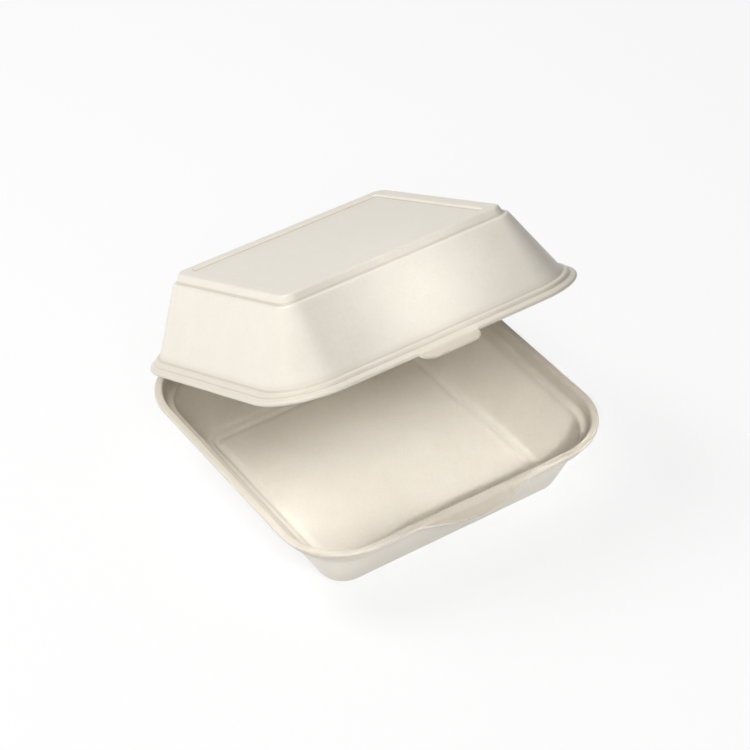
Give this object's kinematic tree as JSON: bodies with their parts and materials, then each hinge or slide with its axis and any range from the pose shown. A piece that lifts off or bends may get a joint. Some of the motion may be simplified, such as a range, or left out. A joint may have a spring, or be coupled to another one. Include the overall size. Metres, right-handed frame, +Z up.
{
  "type": "foam clamshell container",
  "caption": "Square pressed-foam takeaway box: a drafted tray with a stepped rim and a hinged lid with a sunk top panel, closed by a front tab.",
  "frame": {"origin": "centre of the tray's flat base, on the surface that it stands on", "axes": "+Z up, -Y towards the front tab, +Y towards the hinge, +X to the right seen from the front"},
  "size_m": [0.152, 0.1625, 0.1273],
  "materials": {
    "foam": "satin pressed polystyrene foam"
  },
  "bodies": {
    "tray": {"tray": "foam"},
    "lid": {"lid": "foam"}
  },
  "joints": [
    {"name": "lid_hinge", "type": "hinge", "parent": "tray", "child": "lid", "pos_m": [0, 0.0802, 0.03465], "axis": [-1, 0, 0], "range_deg": [-26.6, 145]}
  ]
}
